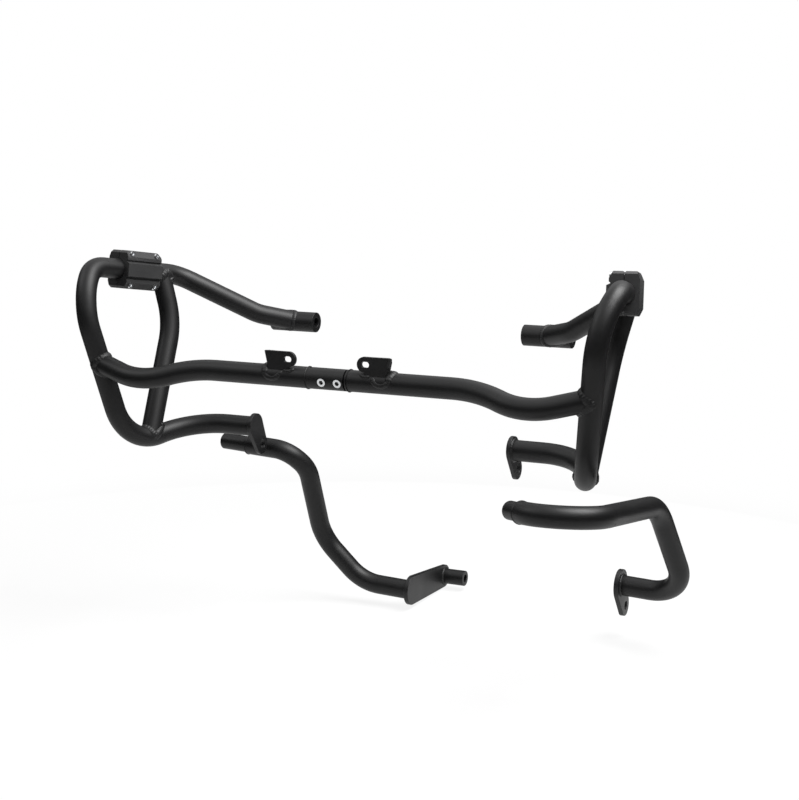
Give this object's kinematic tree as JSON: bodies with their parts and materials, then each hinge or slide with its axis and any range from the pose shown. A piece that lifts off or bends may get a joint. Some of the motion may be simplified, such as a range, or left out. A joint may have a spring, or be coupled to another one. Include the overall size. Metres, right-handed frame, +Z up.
{
  "type": "motorcycle crash bars",
  "caption": "Bent steel tube crash bars for a motorcycle: mirrored upper loops joined at a crossbar, with clamped corner pads, and separate lower bars.",
  "frame": {"origin": "midway between the centres of the two crossbar tab holes", "axes": "+X across the motorcycle to the rider's left, +Y to the rear, +Z up"},
  "size_m": [0.7302, 0.4564, 0.478],
  "materials": {
    "coated_tube": "black powder coat, satin",
    "coated_plate": "black powder coat, satin",
    "pad_plastic": "black moulded plastic, matte",
    "zinc_fasteners": "bright zinc plate"
  },
  "bodies": {
    "root": {"left_loop_tube": "coated_tube", "right_loop_tube": "coated_tube", "left_strut_tube": "coated_tube", "right_strut_tube": "coated_tube", "left_cross_tube": "coated_tube", "right_cross_tube": "coated_tube", "left_lap_insert": "coated_tube", "right_lap_insert": "coated_tube", "joint_bolts": "zinc_fasteners", "left_crossbar_tab": "coated_plate", "right_crossbar_tab": "coated_plate", "left_side_flange": "coated_plate", "right_side_flange": "coated_plate", "left_rear_sleeve": "coated_tube", "right_rear_sleeve": "coated_tube", "left_pad_outer_shell": "pad_plastic", "right_pad_outer_shell": "pad_plastic", "left_pad_inner_shell": "pad_plastic", "right_pad_inner_shell": "pad_plastic", "left_pad_screws": "zinc_fasteners", "right_pad_screws": "zinc_fasteners", "left_pad_nuts": "zinc_fasteners", "right_pad_nuts": "zinc_fasteners", "left_lower_bar_tube": "coated_tube", "left_lower_end_plate": "coated_plate", "left_lower_plug": "coated_tube", "right_lower_bar_tube": "coated_tube", "right_lower_lever_plate": "coated_plate", "right_lower_spacer": "coated_tube", "right_lower_plug": "coated_tube"}
  },
  "joints": []
}
